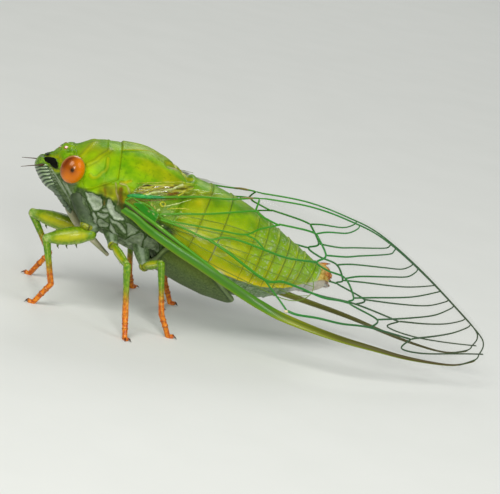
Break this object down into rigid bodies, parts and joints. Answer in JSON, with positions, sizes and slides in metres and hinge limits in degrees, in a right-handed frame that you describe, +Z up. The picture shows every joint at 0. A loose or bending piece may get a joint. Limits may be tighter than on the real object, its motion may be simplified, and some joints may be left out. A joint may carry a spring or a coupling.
{
  "type": "green cicada",
  "caption": "Life-size green cicada standing on its legs with clear veined wings folded roof-like over a tapering abdomen and large orange eyes.",
  "frame": {"origin": "middle of the outline that the whole model covers on the floor, on the floor", "axes": "+X from the head to the tips of the wings, +Y to the animal's right, +Z up from the floor"},
  "size_m": [0.0508, 0.02, 0.0174],
  "materials": {
    "green_shell": "satin lime-green shell",
    "abdomen_shell": "satin yellow-green shell with pale bloom",
    "powdery_underside": "powdery grey-green",
    "eye": "glossy orange",
    "wing": "clear film with green veins",
    "leg": "satin green, orange towards the feet",
    "bristle": "dark brown"
  },
  "bodies": {
    "root": {"head": "green_shell", "eye_left": "eye", "eye_right": "eye", "antenna_left": "bristle", "antenna_right": "bristle", "rostrum": "powdery_underside", "pronotum": "green_shell", "mesothorax": "green_shell", "abdomen": "abdomen_shell", "abdomen_tip": "abdomen_shell", "operculum_left": "powdery_underside", "operculum_right": "powdery_underside", "forewing_left": "wing", "forewing_right": "wing", "hindwing_left": "wing", "hindwing_right": "wing", "coxa_front_left": "powdery_underside", "coxa_front_right": "powdery_underside", "coxa_middle_left": "powdery_underside", "coxa_middle_right": "powdery_underside", "coxa_hind_left": "powdery_underside", "coxa_hind_right": "powdery_underside", "femur_front_left": "leg", "femur_front_right": "leg", "femur_middle_left": "leg", "femur_middle_right": "leg", "femur_hind_left": "leg", "femur_hind_right": "leg", "shin_front_left": "leg", "shin_front_right": "leg", "shin_middle_left": "leg", "shin_middle_right": "leg", "shin_hind_left": "leg", "shin_hind_right": "leg"}
  },
  "joints": []
}
